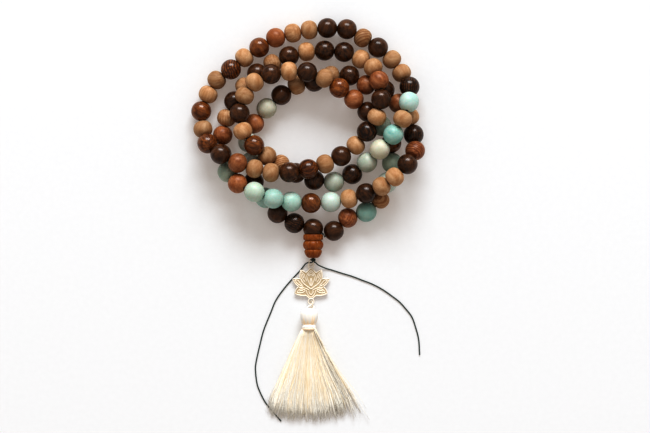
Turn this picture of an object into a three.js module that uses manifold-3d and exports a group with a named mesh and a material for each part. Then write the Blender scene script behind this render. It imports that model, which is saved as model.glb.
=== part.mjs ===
// Mala prayer beads: one closed strand of 107 round wood and stone beads on a single thread,
// lying in four loose laps on a flat surface, with a carved guru bead where the thread closes,
// a lotus charm and a silk tassel on jump rings, and two loose thread ends.
// Millimetres, +Z up. The origin is under the middle of the object, on the surface it lies on,
// and the tassel points along -Y.
import * as THREE from 'three';
import { mergeVertices } from 'three/addons/utils/BufferGeometryUtils.js';
import Module from 'manifold-3d';

const wasm = await Module();
wasm.setup();

// ---- driving dimensions ----
const BEAD = 8; // diameter of the standard bead
const GAP = 0.3; // room left between neighbouring solids
const THREAD_R = 0.24;
const BORE_R = 0.9; // bead hole
const WIRE_R = 0.2; // jump ring wire
const PLATE = 0.6; // thickness of the lotus charm

// Bead kinds: half the width across the thread, half the length along it, and the finish.
const KINDS = {
  s: { radius: 0.465 * BEAD, half: 0.4 * BEAD, finish: 'sandalwood' },
  e: { radius: 0.5 * BEAD, half: 0.47 * BEAD, finish: 'ebony' },
  r: { radius: 0.5 * BEAD, half: 0.47 * BEAD, finish: 'rosewood' },
  p: { radius: 0.49 * BEAD, half: 0.45 * BEAD, finish: 'redwood' },
  a: { radius: 0.5 * BEAD, half: 0.485 * BEAD, finish: 'amazonite' },
};

// The beads in order along the thread, starting beside the guru bead.
const ORDER = 'epasaaraep' + 'rsesessesr' + 'sseeaeaaas' + 'aesseseess' + 'prsrssrsre'
  + 'psserseses' + 'epsseesese' + 'sespeapaaa' + 'rasessepes' + 'pepeseseap' + 'aaeaeee';

// Where the strand is laid: the place of every third bead, with the height of its centre.
const BEADS_PER_STATION = 3;
const ROUTE = [
  [9.8, -3, 4], [28, 8.5, 4], [33, 30, 4], [19, 48, 6], [0, 59.5, 10.5], [-22, 55.5, 10.5],
  [-27, 35.5, 8], [-10, 21.5, 4], [10.5, 15.5, 4], [29, 28.5, 10.5], [40, 47.5, 10.5],
  [33, 64, 4], [15, 75.5, 4], [-6.5, 74.5, 4], [-25, 65, 4], [-39.5, 50, 4], [-40, 31.5, 4],
  [-22, 20.5, 10.5], [0, 20, 10.5], [19.5, 30, 6], [29, 48.5, 10.5], [21, 64.5, 4],
  [-0.5, 67.5, 4], [-20.5, 58.5, 4], [-32.5, 40.5, 4], [-32, 20, 4], [-15, 9, 10.5],
  [9, 7, 4], [30, 14, 10.5], [42, 28.5, 4], [35.5, 46.5, 4], [17, 57, 4], [-5, 53, 4],
  [-20, 38, 4], [-20.5, 16, 4], [-5.5, -0.3, 4], [15, -4.6, 4],
];

const FINISHES = {
  sandalwood: { color: 0xc08a5c, roughness: 0.55, metalness: 0 },
  ebony: { color: 0x2c1a14, roughness: 0.25, metalness: 0 },
  rosewood: { color: 0x5a2e1c, roughness: 0.3, metalness: 0 },
  redwood: { color: 0x7a4026, roughness: 0.5, metalness: 0 },
  amazonite: { color: 0x9cc9c0, roughness: 0.5, metalness: 0 },
  guru_wood: { color: 0x8a3d18, roughness: 0.45, metalness: 0 },
  thread: { color: 0x16241f, roughness: 0.8, metalness: 0 },
  silver: { color: 0xd9cdb4, roughness: 0.35, metalness: 1 },
  silk: { color: 0xf3e8cf, roughness: 0.6, metalness: 0 },
};

const model = new THREE.Group();
const finishes = Object.fromEntries(
  Object.entries(FINISHES).map(([name, look]) => [name, new THREE.MeshStandardMaterial(look)]),
);

function addPart(name, geometry, finish) {
  const mesh = new THREE.Mesh(geometry, finishes[finish]);
  mesh.name = name;
  model.add(mesh);
  return mesh;
}

const at = (point) => new THREE.Vector3(...point);

// ---- solids ----
function toSolid(geometry) {
  const bare = geometry.index ? geometry : geometry.clone();
  bare.deleteAttribute('normal');
  bare.deleteAttribute('uv');
  const merged = mergeVertices(bare, 1e-4);
  return new wasm.Manifold(new wasm.Mesh({
    numProp: 3,
    vertProperties: new Float32Array(merged.attributes.position.array),
    triVerts: new Uint32Array(merged.index.array),
  }));
}

function toGeometry(solid) {
  const mesh = solid.getMesh();
  const geometry = new THREE.BufferGeometry();
  geometry.setAttribute('position', new THREE.BufferAttribute(mesh.vertProperties, 3));
  geometry.setIndex(new THREE.BufferAttribute(mesh.triVerts, 1));
  geometry.computeVertexNormals();
  return geometry;
}

// A closed turned body about +Y, from [radius, height] corners listed from the bottom up.
function turned(corners, sides) {
  const profile = corners.map(([radius, height]) => new THREE.Vector2(radius, height));
  const closesOnAxis = corners[0][0] === 0 && corners.at(-1)[0] === 0;
  if (!closesOnAxis) profile.push(profile[0].clone());
  return new THREE.LatheGeometry(profile, sides);
}

// A rod of round section along a curve.
function rod(curve, radius, steps, sides) {
  const section = new THREE.Shape();
  for (let side = 0; side < sides; side++) {
    const turn = (side / sides) * 2 * Math.PI;
    const corner = [radius * Math.cos(turn), radius * Math.sin(turn)];
    if (side === 0) section.moveTo(...corner);
    else section.lineTo(...corner);
  }
  section.closePath();
  return new THREE.ExtrudeGeometry(section, { steps, extrudePath: curve });
}

// ---- the strand settles ----
// Beads start on the laid route and are moved apart or together until each touches its
// neighbours on the thread and none sits inside another or in the surface below.
function spread(a, b, distance, alsoPull) {
  const between = b.clone().sub(a);
  const length = between.length();
  if (length >= distance && !alsoPull) return;
  between.multiplyScalar((length - distance) / (2 * length));
  a.add(between);
  b.sub(between);
}

function settle(beads) {
  const SWEEPS = 600;
  const FREE_FROM = 480; // after this sweep nothing pulls the beads towards the route
  const HOLD = 0.2;
  const SINK = 0.03;
  const REACH = 14;
  const STRAIGHTEST = 0.97; // how far apart the bends keep two beads with one between them
  const flat = (bead) => new THREE.Vector2(bead.laid.x, bead.laid.y);
  const close = [];
  beads.forEach((bead, i) => beads.slice(i + 2).forEach((other) => {
    if (flat(bead).distanceTo(flat(other)) < REACH) close.push([bead, other]);
  }));
  for (let sweep = 0; sweep < SWEEPS; sweep++) {
    const hold = Math.max(0, 1 - sweep / FREE_FROM);
    for (const { centre, laid } of beads) {
      centre.x += HOLD * hold * (laid.x - centre.x);
      centre.y += HOLD * hold * (laid.y - centre.y);
      centre.z -= SINK * hold;
    }
    for (let i = 1; i < beads.length; i++) {
      const [a, b] = [beads[i - 1], beads[i]];
      spread(a.centre, b.centre, a.half + b.half + GAP, true);
      const before = beads[i - 2];
      if (!before) continue;
      const length = before.half + 2 * a.half + b.half + 2 * GAP;
      spread(before.centre, b.centre, STRAIGHTEST * length, false);
    }
    for (const [a, b] of close) spread(a.centre, b.centre, a.radius + b.radius + GAP, false);
    for (const bead of beads) bead.centre.z = Math.max(bead.centre.z, bead.radius);
  }
}

const laid = new THREE.CatmullRomCurve3(ROUTE.map(at), false, 'catmullrom', 0.5);
const beads = [...ORDER].map((letter, i) => {
  const place = laid.getPoint(i / BEADS_PER_STATION / (ROUTE.length - 1));
  return { ...KINDS[letter], laid: place, centre: place.clone() };
});
settle(beads);
const first = beads[0];
const last = beads.at(-1);

// ---- guru bead, in line with the last bead ----
const GURU_R = 4.05;
const GURU_TOP = last.centre.y - 2.2;
const GURU_LENGTH = 9.6;
const SEAT = 1.1; // room between the last bead and the dished end of the guru bead
const guruX = last.centre.x;
const guruZ = GURU_R + 0.05;
const guruFoot = GURU_TOP - GURU_LENGTH;

// ---- how each bead is strung: +Y along the thread, +Z as near upright as it can be ----
const SIDE = 0.45; // the two thread ends lie this far either side of the guru bead's axis
const mouth = (side) => at([guruX, GURU_TOP - 3.2, guruZ + side]);
const foot = (side) => at([guruX, guruFoot + 0.5, guruZ + side]);
// Places round the last bead, in the room between it and the guru bead's dished end.
function round(degrees, side) {
  const turn = THREE.MathUtils.degToRad(degrees);
  const radius = last.radius + 0.5;
  return at([guruX + radius * Math.cos(turn), last.centre.y + radius * Math.sin(turn),
    guruZ + side]);
}
// One end passes round the last bead to reach the first one; the other leaves the last bead.
const reaching = [-80, -55, -26].map((degrees) => round(degrees, SIDE));
const leaving = [-45, -66, -84].map((degrees) => round(degrees, -SIDE));

beads.forEach((bead, i) => {
  const before = i === 0 ? reaching.at(-1) : beads[i - 1].centre;
  const after = bead === last ? leaving[0] : beads[i + 1].centre;
  const along = after.clone().sub(before).normalize();
  const side = new THREE.Vector3().crossVectors(along, new THREE.Vector3(0, 0, 1)).normalize();
  const up = new THREE.Vector3().crossVectors(side, along);
  bead.along = along;
  bead.strung = new THREE.Matrix4().makeBasis(side, along, up).setPosition(bead.centre);
});

// ---- thread through every bead, both ends down through the guru bead ----
// It runs straight from corner to corner, so it stays inside every bead's hole.
class CorneredPath extends THREE.Curve {
  constructor(corners) {
    super();
    this.corners = corners;
  }

  getPoint(t) {
    const place = THREE.MathUtils.clamp(t, 0, 1) * (this.corners.length - 1);
    const before = Math.min(Math.floor(place), this.corners.length - 2);
    return this.corners[before].clone().lerp(this.corners[before + 1], place - before);
  }

  getPointAt(t) {
    return this.getPoint(t);
  }

  getTangentAt(t) {
    return this.getTangent(t);
  }
}

const beyond = (bead, reach) => bead.centre.clone().addScaledVector(bead.along, reach);
const throughBead = (bead) => [beyond(bead, -bead.half - 0.1), beyond(bead, bead.half + 0.1)];
const threadCorners = [
  foot(SIDE), mouth(SIDE), ...reaching, beyond(first, -first.half - 0.6),
  ...beads.flatMap(throughBead),
  beyond(last, last.half + 0.6), ...leaving, mouth(-SIDE), foot(-SIDE),
];
addPart('strand_thread',
  rod(new CorneredPath(threadCorners), THREAD_R, threadCorners.length - 1, 5), 'thread');

// ---- beads ----
const BEAD_SIDES = 8;
const ARCS = 4;

// Corners of a bead's round outside, [radius, height], from its lower rim to its upper one.
function outside({ radius, half }, lowRim, highRim) {
  const low = Math.acos(lowRim / radius);
  const high = Math.acos(highRim / radius);
  const stretch = half / Math.sin(Math.acos(BORE_R / radius));
  return Array.from({ length: ARCS + 1 }, (_, k) => {
    const turn = THREE.MathUtils.lerp(-low, high, k / ARCS);
    return [radius * Math.cos(turn), stretch * Math.sin(turn)];
  });
}

const label = (i) => String(i + 1).padStart(3, '0');

function singleBead(i) {
  const round = outside(beads[i], BORE_R, BORE_R);
  const mesh = addPart(`bead_${label(i)}`, turned(round, BEAD_SIDES), beads[i].finish);
  mesh.applyMatrix4(beads[i].strung);
}

// Neighbouring beads joined by short collars round the thread, with one hole along the thread.
// They are turned as one body, and then each bead's corners are placed where that bead is strung.
function joinedBeads(from, to) {
  const COLLAR_R = 2;
  const corners = [];
  const add = (bead, radius, height) => corners.push({ bead, radius, height });
  for (let i = from; i <= to; i++) {
    const round = outside(beads[i], i === from ? BORE_R : COLLAR_R, i === to ? BORE_R : COLLAR_R);
    for (const [radius, height] of round) add(i, radius, height);
  }
  for (let i = to; i >= from; i--) {
    if (i < to) add(i, BORE_R, 0.85 * beads[i].half);
    if (i > from) add(i, BORE_R, -0.85 * beads[i].half);
  }

  const profile = corners.map(({ bead, radius, height }) => [radius, height + bead * BEAD]);
  const geometry = turned(profile, BEAD_SIDES);
  const vertices = geometry.attributes.position;
  const vertex = new THREE.Vector3();
  for (let k = 0; k < vertices.count; k++) {
    const { bead, height } = corners[(k % (corners.length + 1)) % corners.length];
    vertex.fromBufferAttribute(vertices, k).setY(height).applyMatrix4(beads[bead].strung);
    vertices.setXYZ(k, ...vertex);
  }
  addPart(`beads_${label(from)}_to_${label(to)}`, geometry, beads[from].finish);
}

// Each stone bead is a node of its own; the wood beads between them are joined by fours.
const LONGEST_RUN = 4;
for (let i = 0; i < beads.length;) {
  let end = i;
  const wood = (k) => k < beads.length && beads[k].finish !== 'amazonite';
  if (wood(i)) while (end - i + 1 < LONGEST_RUN && wood(end + 1)) end++;
  if (end === i) singleBead(i);
  else joinedBeads(i, end);
  i = end + 1;
}

// ---- guru bead: three rounded tiers, dished on top where the last bead sits ----
const guruTiers = [
  [0, 0], [1.9, 0.1], [3.0, 1.3], [3.5, 2.6], [3.3, 3.5], [3.9, 4.2], [GURU_R, 5.6],
  [3.7, 7], [GURU_R, 7.6], [GURU_R - 0.1, GURU_LENGTH], [0, GURU_LENGTH],
];
const guruBlank = turned(guruTiers, 12).translate(guruX, guruFoot, guruZ);
const seat = new THREE.SphereGeometry(last.radius + SEAT, 12, 8)
  .rotateX(Math.PI / 2)
  .translate(last.centre.x, last.centre.y, guruZ);
const guruHole = turned([[0, -1], [1.2, -1], [1.2, 11], [0, 11]], 10)
  .translate(guruX, guruFoot, guruZ);
const guruSolid = toSolid(guruBlank).subtract(toSolid(seat)).subtract(toSolid(guruHole));
addPart('guru_bead', toGeometry(guruSolid), 'guru_wood');

// ---- knot under the guru bead ----
const KNOT_LENGTH = 0.9;
const knotTop = guruFoot - GAP;
addPart('guru_knot',
  turned([[0, 0], [0.6, 0], [0.95, 0.3], [0.95, 0.6], [0.6, KNOT_LENGTH], [0, KNOT_LENGTH]], 10)
    .translate(guruX, knotTop - KNOT_LENGTH, guruZ),
  'thread');

// ---- lotus charm, lying flat just above the thread end that passes under it ----
const CHARM = { x: 1.2, y: -25.5, back: 0.9 };
const EYE = { top: 7.2, bottom: -7.0, radius: 1.35, hole: 0.92 };
// Right half of the outline from the upper neck to the lower: [control, corner] of each arc.
const NECK = [0.5, 6.3];
const PETALS = [
  [[0.9, 5.6], [2.1, 4.6]],
  [[3.2, 5.4], [4.3, 5.7]],
  [[5.0, 3.4], [4.4, 1.9]],
  [[6.2, 2.4], [7.6, 2.0]],
  [[6.9, 0.0], [5.1, -1.2]],
  [[6.5, -2.2], [6.7, -4.0]],
  [[4.6, -5.1], [2.3, -4.8]],
  [[1.5, -5.2], [0.5, -6.2]],
];

function petalOutline() {
  const shape = new THREE.Shape();
  const corners = [NECK, ...PETALS.map((petal) => petal[1])];
  shape.moveTo(...NECK);
  for (const [control, corner] of PETALS) shape.quadraticCurveTo(...control, ...corner);
  shape.lineTo(-corners.at(-1)[0], corners.at(-1)[1]);
  for (let k = PETALS.length - 1; k >= 0; k--) {
    const [x, y] = PETALS[k][0];
    shape.quadraticCurveTo(-x, y, -corners[k][0], corners[k][1]);
  }
  shape.closePath();
  return shape;
}

// A round disc of the plate's thickness, or a longer one that cuts through it.
function disc(y, radius, sides, spare) {
  return toSolid(new THREE.CylinderGeometry(radius, radius, PLATE + 2 * spare, sides)
    .rotateX(Math.PI / 2)
    .translate(0, y, PLATE / 2));
}

let charmSolid = toSolid(new THREE.ExtrudeGeometry(petalOutline(), {
  depth: PLATE, bevelEnabled: false, curveSegments: 3,
}));
for (const y of [EYE.top, EYE.bottom]) charmSolid = charmSolid.add(disc(y, EYE.radius, 12, 0));
for (const y of [EYE.top, EYE.bottom]) charmSolid = charmSolid.subtract(disc(y, EYE.hole, 10, 1));
const charm = addPart('lotus_charm', toGeometry(charmSolid), 'silver');
charm.position.set(CHARM.x, CHARM.y, CHARM.back);

// ---- jump rings ----
// A ring through a point, leaning: "along" is the direction from that point to its centre.
function jumpRing(name, through, along, across, radius) {
  const u = at(along).normalize();
  const v = at(across).addScaledVector(u, -at(across).dot(u)).normalize();
  const basis = new THREE.Matrix4().makeBasis(u, v, new THREE.Vector3().crossVectors(u, v));
  const centre = at(through).addScaledVector(u, radius);
  addPart(name,
    new THREE.TorusGeometry(radius, WIRE_R, 6, 16)
      .applyMatrix4(basis)
      .translate(centre.x, centre.y, centre.z),
    'silver');
}

const upperEye = [CHARM.x, CHARM.y + EYE.top, CHARM.back + PLATE / 2];
const lowerEye = [CHARM.x, CHARM.y + EYE.bottom, CHARM.back + PLATE / 2];
jumpRing('upper_jump_ring', upperEye, [0.1, 0.9, 0.44], [0.64, 0.34, -0.69], 1.6);
jumpRing('lower_jump_ring', lowerEye, [0.1, -0.8, 0.4], [0.35, 0.46, 0.84], 1.45);

// ---- tassel ----
const HEAD = { x: 0.4, y: -38.4, z: 3.65, radius: 3.6, half: 3.3 };
const headCorners = [[0, -1], [0.62, -0.95], [0.9, -0.6], [1, -0.1], [0.94, 0.45], [0.6, 0.85], [0, 1]]
  .map(([r, h]) => [r * HEAD.radius, h * HEAD.half]);
addPart('tassel_head', turned(headCorners, 12).translate(HEAD.x, HEAD.y, HEAD.z), 'silk');

const WRAP = { radius: 2.85, length: 1.9 };
const wrapTop = HEAD.y - HEAD.half - GAP;
addPart('tassel_neck_wrap',
  turned([[0, 0], [0.9, 0], [1, 0.15], [1, 0.85], [0.9, 1], [0, 1]]
    .map(([r, h]) => [r * WRAP.radius, h * WRAP.length]), 12)
    .translate(HEAD.x, wrapTop - WRAP.length, HEAD.z),
  'silk');

// Silk loop that ties the tassel to its ring.
const loopCurve = new THREE.CatmullRomCurve3([
  [-0.1, -34.7, 3.9], [0.5, -34.35, 3.6], [1.0, -34.0, 3.0], [1.5, -33.9, 2.3],
  [2.1, -34.3, 2.0], [2.4, -34.9, 2.5], [2.2, -35.1, 3.2],
].map(at));
addPart('tassel_loop', rod(loopCurve, 0.2, 10, 6), 'silk');

// Skirt of strands: round at the neck, wide and flat at the free end.
const SKIRT = { length: 36, neck: 2.6, halfWidth: 16, halfHeight: 2.4, lean: -0.7 };
const SIDES_SHORTER = 3; // the skirt's side strands end this much higher than its middle ones
const skirtTop = wrapTop - WRAP.length - GAP;

function skirtGeometry() {
  const ROWS = 5;
  const geometry = new THREE.CylinderGeometry(1, 1, 1, 16, ROWS);
  const corners = geometry.attributes.position;
  for (let k = 0; k < corners.count; k++) {
    const down = 0.5 - corners.getY(k);
    const halfWidth = THREE.MathUtils.lerp(SKIRT.neck, SKIRT.halfWidth, down);
    const halfHeight = THREE.MathUtils.lerp(SKIRT.neck, SKIRT.halfHeight, down);
    const middle = THREE.MathUtils.lerp(HEAD.z, SKIRT.halfHeight + 0.05, Math.sqrt(down));
    const side = corners.getX(k);
    corners.setXYZ(k,
      HEAD.x + SKIRT.lean * down + halfWidth * side,
      skirtTop - SKIRT.length * down + SIDES_SHORTER * down * side * side,
      Math.max(0, middle + halfHeight * corners.getZ(k)));
  }
  return geometry;
}
addPart('tassel_skirt', skirtGeometry(), 'silk');

// ---- loose thread ends, lying on the surface ----
const LEFT_TAIL = [
  [1.7, -16.7, 3.8], [1.2, -16.95, 2.6], [-0.1, -17, 1.5], [-1.2, -17.7, 0.6], [-2.6, -19.5, 0.3],
  [-4.4, -21.5, 0.3], [-6.8, -24.1, 0.3], [-10, -27.9, 0.3], [-13, -32.3, 0.3], [-15, -37.1, 0.3],
  [-17.8, -44.1, 0.3], [-19.4, -50.3, 0.3], [-20.9, -57.1, 0.3], [-21.1, -60.5, 0.3],
  [-20.5, -65.5, 0.3], [-19.4, -68.7, 0.3], [-17.4, -72.7, 0.3], [-15, -75.9, 0.3],
  [-12.9, -78.3, 0.3], [-10.8, -80.7, 0.3],
];
const RIGHT_TAIL = [
  [2.5, -16.7, 4.4], [3.1, -17, 3.6], [3.9, -17.8, 2.2], [5.4, -18.6, 1.1], [7.4, -19.4, 0.5],
  [9.5, -20.0, 0.3], [13.6, -21.3, 0.3], [17.6, -22.5, 0.3], [21.8, -24.1, 0.3],
  [25.9, -25.7, 0.3], [30, -27.9, 0.3], [34, -30.7, 0.3], [36.8, -32.9, 0.3], [38.8, -35.1, 0.3],
  [41.6, -38.7, 0.3], [43.2, -43.1, 0.3], [44.4, -47.9, 0.3], [44.8, -54.1, 0.3],
];
addPart('thread_tail_left', rod(new THREE.CatmullRomCurve3(LEFT_TAIL.map(at)), THREAD_R, 44, 8),
  'thread');
addPart('thread_tail_right', rod(new THREE.CatmullRomCurve3(RIGHT_TAIL.map(at)), THREAD_R, 36, 8),
  'thread');

export default model;
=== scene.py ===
"""Looks for a strand of prayer beads: beads, thread, guru bead, lotus charm and tassel."""
import math
import random

import bpy
from mathutils import Matrix, Vector, noise


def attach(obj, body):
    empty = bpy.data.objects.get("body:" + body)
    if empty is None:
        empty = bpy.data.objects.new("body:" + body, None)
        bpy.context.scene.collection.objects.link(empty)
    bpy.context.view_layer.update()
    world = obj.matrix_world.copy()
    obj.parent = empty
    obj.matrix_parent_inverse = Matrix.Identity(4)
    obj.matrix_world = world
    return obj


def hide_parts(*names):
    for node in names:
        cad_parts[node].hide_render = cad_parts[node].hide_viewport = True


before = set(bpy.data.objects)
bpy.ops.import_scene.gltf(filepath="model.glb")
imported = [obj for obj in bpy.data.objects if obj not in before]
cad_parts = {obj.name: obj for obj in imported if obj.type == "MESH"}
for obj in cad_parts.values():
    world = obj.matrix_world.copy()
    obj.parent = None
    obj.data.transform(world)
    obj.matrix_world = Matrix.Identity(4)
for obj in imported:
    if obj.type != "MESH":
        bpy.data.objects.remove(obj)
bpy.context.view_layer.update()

MM = 0.001
UP = Vector((0, 0, 1))
scene = bpy.context.scene


# ---- camera ----
VIEW_WIDTH = 0.26  # how much the view takes in, at the height of the beads' middle
VIEW_CENTRE = (0.0068, 0.0015)
BEAD_MIDDLE = 0.004
CAMERA_HEIGHT = 1.0
SENSOR_WIDTH = 36
camera_data = bpy.data.cameras.new("camera")
camera_data.sensor_width = SENSOR_WIDTH
camera_data.lens = SENSOR_WIDTH * (CAMERA_HEIGHT - BEAD_MIDDLE) / VIEW_WIDTH
camera_data.clip_start = 0.01
camera = bpy.data.objects.new("camera", camera_data)
camera.location = (*VIEW_CENTRE, CAMERA_HEIGHT)
scene.collection.objects.link(camera)
scene.camera = camera
CONTRAST = 0.62  # below 1 it deepens the shadows and leaves white as it is
scene.view_settings.view_transform = "Standard"
scene.view_settings.gamma = CONTRAST


# ---- geometry helpers, in millimetres until place() ----
def catmull(points, per_span):
    """Points along a smooth curve through the given ones."""
    line = [Vector(p) for p in points]
    ends = [2 * line[0] - line[1], *line, 2 * line[-1] - line[-2]]
    smooth = []
    for a, b, c, d in zip(ends, ends[1:], ends[2:], ends[3:]):
        for k in range(per_span):
            t = k / per_span
            smooth.append(0.5 * (2 * b + (c - a) * t + (2 * a - 5 * b + 4 * c - d) * t * t
                                 + (3 * b - a - 3 * c + d) * t ** 3))
    return smooth + [line[-1]]


def grid_faces(rows, columns, closed_rows=False):
    """Quads joining each row of corners to the next; every row is a closed loop.
    With closed_rows, the last row is joined to the first too."""
    faces = []
    for i in range(rows if closed_rows else rows - 1):
        for j in range(columns):
            k = (j + 1) % columns
            low, high = i * columns, ((i + 1) % rows) * columns
            faces.append((low + j, low + k, high + k, high + j))
    return faces


def capped_faces(rows, columns):
    """The same, with the first and the last row filled in."""
    first_cap = tuple(reversed(range(columns)))
    last_cap = tuple(range((rows - 1) * columns, rows * columns))
    return [*grid_faces(rows, columns), first_cap, last_cap]


def tube(line, radius, sides, radii=None):
    """Corners and faces of a closed tube along a line, without twist."""
    corners = []
    side = None
    for i, place in enumerate(line):
        along = (line[min(i + 1, len(line) - 1)] - line[max(i - 1, 0)]).normalized()
        if side is None:
            side = along.orthogonal().normalized()
        side = (side - side.dot(along) * along).normalized()
        other = along.cross(side)
        r = radii[i] if radii else radius
        for j in range(sides):
            turn = 2 * math.pi * j / sides
            corners.append(place + r * (math.cos(turn) * side + math.sin(turn) * other))
    return corners, capped_faces(len(line), sides)


def lathe(profile, sides):
    """A closed turned body about +Y; profile is a closed loop of (radius, height)."""
    corners = []
    for radius, height in profile:
        for j in range(sides):
            turn = 2 * math.pi * j / sides
            corners.append(Vector((radius * math.cos(turn), height, -radius * math.sin(turn))))
    return corners, grid_faces(len(profile), sides, closed_rows=True)


def joined(*parts):
    """Several geometries as one."""
    corners, faces = [], []
    for more, quads in parts:
        start = len(corners)
        corners.extend(more)
        faces.extend(tuple(start + k for k in quad) for quad in quads)
    return corners, faces


def place(name, body, geometry, material, matrix=None, values=None):
    """Make a piece from millimetre geometry; matrix turns it and moves it (millimetres).
    Values are numbers for each corner, by name, which the material reads."""
    corners, faces = geometry
    mesh = bpy.data.meshes.new(name)
    mesh.from_pydata([tuple(MM * c for c in corner) for corner in corners], [], faces)
    mesh.validate()
    mesh.update()
    mesh.shade_smooth()
    for key, numbers in (values or {}).items():
        mesh.attributes.new(key, "FLOAT", "POINT").data.foreach_set("value", numbers)
    piece = bpy.data.objects.new(name, mesh)
    scene.collection.objects.link(piece)
    mesh.materials.append(material)
    if matrix:
        moved = matrix.copy()
        moved.translation = MM * matrix.translation
        piece.matrix_world = moved
    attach(piece, body)
    return piece


# ---- materials ----
class Look:
    """A material under construction, with short calls for its nodes."""

    def __init__(self, name, **shader):
        self.material = bpy.data.materials.new(name)
        self.material.use_nodes = True
        self.tree = self.material.node_tree
        self.shader = self.tree.nodes["Principled BSDF"]
        for socket, value in shader.items():
            self.shader.inputs[socket.replace("_", " ")].default_value = value

    def node(self, kind, inputs=None, **settings):
        made = self.tree.nodes.new("ShaderNode" + kind)
        for key, value in settings.items():
            setattr(made, key, value)
        for socket, value in (inputs or {}).items():
            if isinstance(value, bpy.types.NodeSocket):
                self.tree.links.new(value, made.inputs[socket])
            else:
                made.inputs[socket].default_value = value
        return made

    def coords(self, stretch=(1, 1, 1), shift=None):
        """Object coordinates in millimetres, stretched and shifted by the piece's own seed."""
        here = self.node("TexCoord").outputs["Object"]
        scaled = self.node("VectorMath", {0: here, 1: tuple(s / MM for s in stretch)},
                           operation="MULTIPLY").outputs[0]
        if not shift:
            return scaled
        seed = self.node("Attribute", attribute_name=shift).outputs["Fac"]
        return self.node("VectorMath", {0: scaled, 1: seed}, operation="ADD").outputs[0]

    def noise(self, vector, scale, detail=3, roughness=0.55, distortion=0):
        return self.node("TexNoise", {
            "Vector": vector, "Scale": scale, "Detail": detail, "Roughness": roughness,
            "Distortion": distortion}).outputs["Fac"]

    def wave(self, vector, scale, distortion, detail=2, direction="X"):
        return self.node("TexWave", {
            "Vector": vector, "Scale": scale, "Distortion": distortion, "Detail": detail},
            bands_direction=direction).outputs["Fac"]

    def ramp(self, factor, *stops):
        ramp = self.node("ValToRGB", {"Fac": factor})
        elements = ramp.color_ramp.elements
        while len(elements) < len(stops):
            elements.new(0.5)
        for element, (position, colour) in zip(elements, stops):
            element.position = position
            element.color = colour if len(colour) == 4 else (*colour, 1)
        return ramp.outputs["Color"]

    def grey(self, factor, *stops):
        return self.ramp(factor, *((position, (v, v, v)) for position, v in stops))

    def mix(self, factor, a, b, blend="MIX"):
        made = self.node("MixRGB", {0: factor, 1: a, 2: b}, blend_type=blend)
        return made.outputs[0]

    def math(self, operation, a, b):
        return self.node("Math", {0: a, 1: b}, operation=operation).outputs[0]

    def value(self, name):
        return self.node("Attribute", attribute_name=name).outputs["Fac"]

    def colour(self, socket):
        self.tree.links.new(socket, self.shader.inputs["Base Color"])

    def rough(self, socket):
        self.tree.links.new(socket, self.shader.inputs["Roughness"])

    def bump(self, height, distance, strength):
        made = self.node("Bump", {"Height": height, "Strength": strength,
                                  "Distance": distance * MM})
        self.tree.links.new(made.outputs["Normal"], self.shader.inputs["Normal"])


LIT = 1.58  # the light on the woods' upper sides
STONE_LIT = 0.88 * LIT  # the light on the stones, which lie lower
BRIGHTEST = 0.95  # the most light that a surface gives back


def seen(red, green, blue, lit=LIT):
    """The surface colour that shows as these 0-255 screen values in that much light.
    A colour too bright for any surface is darkened, and keeps its hue."""
    def surface(c):
        c = (c / 255) ** CONTRAST
        return (c / 12.92 if c <= 0.04045 else ((c + 0.055) / 1.055) ** 2.4) / lit
    colour = [surface(c) for c in (red, green, blue)]
    brightest = max(BRIGHTEST, *colour)
    return *(BRIGHTEST * c / brightest for c in colour), 1


def wood(name, dark, base, light, streaks, roughness, gloss):
    """Turned wood: drawn-out streaks and fibres, and growth bands on the figured pieces."""
    look = Look(name, Specular_IOR_Level=gloss)
    figure = look.value("figure")
    patches = look.noise(look.coords((0.5, 0.5, 0.12), "seed"), scale=1.0)
    drawn = look.noise(look.coords((1.1, 1.1, 0.1), "seed"), scale=1.0, detail=5,
                       roughness=0.65, distortion=0.4)
    bands = look.wave(look.coords((1, 1, 0.3), "seed"), scale=0.33, distortion=7.0, detail=4)
    fibres = look.noise(look.coords((4.0, 4.0, 0.3), "seed"), scale=1.0, detail=5, roughness=0.7)
    pores = look.noise(look.coords((6.0, 6.0, 1.5), "seed"), scale=1.0, roughness=0.6)
    colour = look.ramp(patches, (0.34, base), (0.66, light))
    share = look.math("ADD", look.math("MULTIPLY", figure, 0.6), 0.4)
    streak = look.grey(drawn, (0.36, streaks), (0.56, 0.0))
    colour = look.mix(look.math("MULTIPLY", share, streak), colour, dark)
    banded = look.math("MULTIPLY", look.math("POWER", figure, 4.0),
                       look.grey(bands, (0.2, 0.8), (0.6, 0.0)))
    colour = look.mix(banded, colour, dark)
    colour = look.mix(look.grey(fibres, (0.3, 0.35), (0.6, 0.0)), colour, dark)
    colour = look.mix(look.grey(pores, (0.3, 0.5), (0.42, 0.0)), colour, dark)
    tone = look.value("tone")
    shade = look.node("CombineXYZ", {0: tone, 1: tone, 2: tone}).outputs[0]
    look.colour(look.mix(1.0, colour, shade, "MULTIPLY"))
    look.rough(look.grey(fibres, (0.3, roughness + 0.08), (0.7, roughness)))
    look.bump(fibres, distance=0.015, strength=0.3)
    return look.material


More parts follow.
